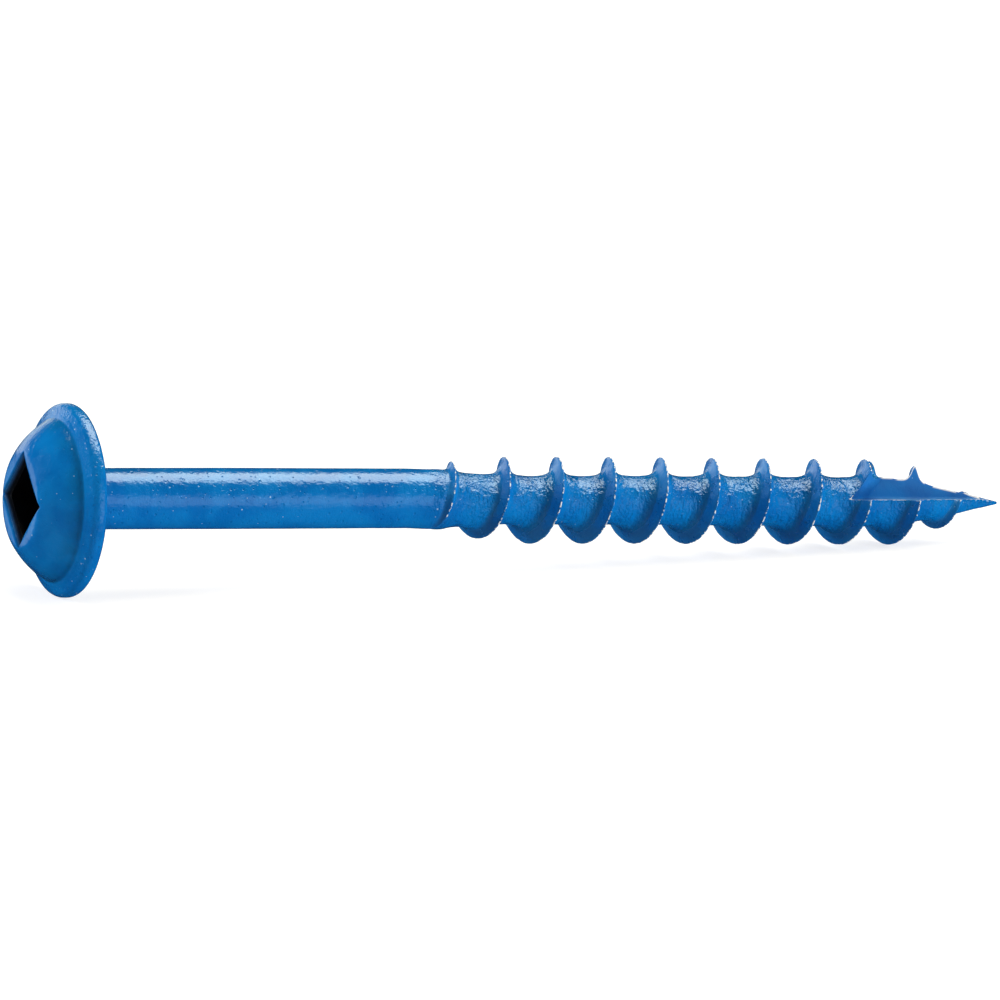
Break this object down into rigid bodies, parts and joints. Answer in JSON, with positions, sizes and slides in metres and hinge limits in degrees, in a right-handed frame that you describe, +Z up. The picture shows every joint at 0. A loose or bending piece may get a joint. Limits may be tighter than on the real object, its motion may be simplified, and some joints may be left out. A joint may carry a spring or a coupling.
{
  "type": "pocket hole screw",
  "caption": "Washer-head wood screw with a square drive recess, a plain shank, a coarse thread and a cutting notch in its point, for joining boards through a pocket hole.",
  "frame": {"origin": "middle of the screw's box, on the surface that it lies on", "axes": "+X along the screw, from its head to its point; +Z up; the axis slopes down to the point by about 3.2 degrees, as the screw lies on its rim and thread"},
  "size_m": [0.0526, 0.0092, 0.0092],
  "materials": {
    "blue_coat": "satin blue coat over steel, worn to bare metal along the thread's crest"
  },
  "bodies": {
    "root": {"screw": "blue_coat"}
  },
  "joints": []
}
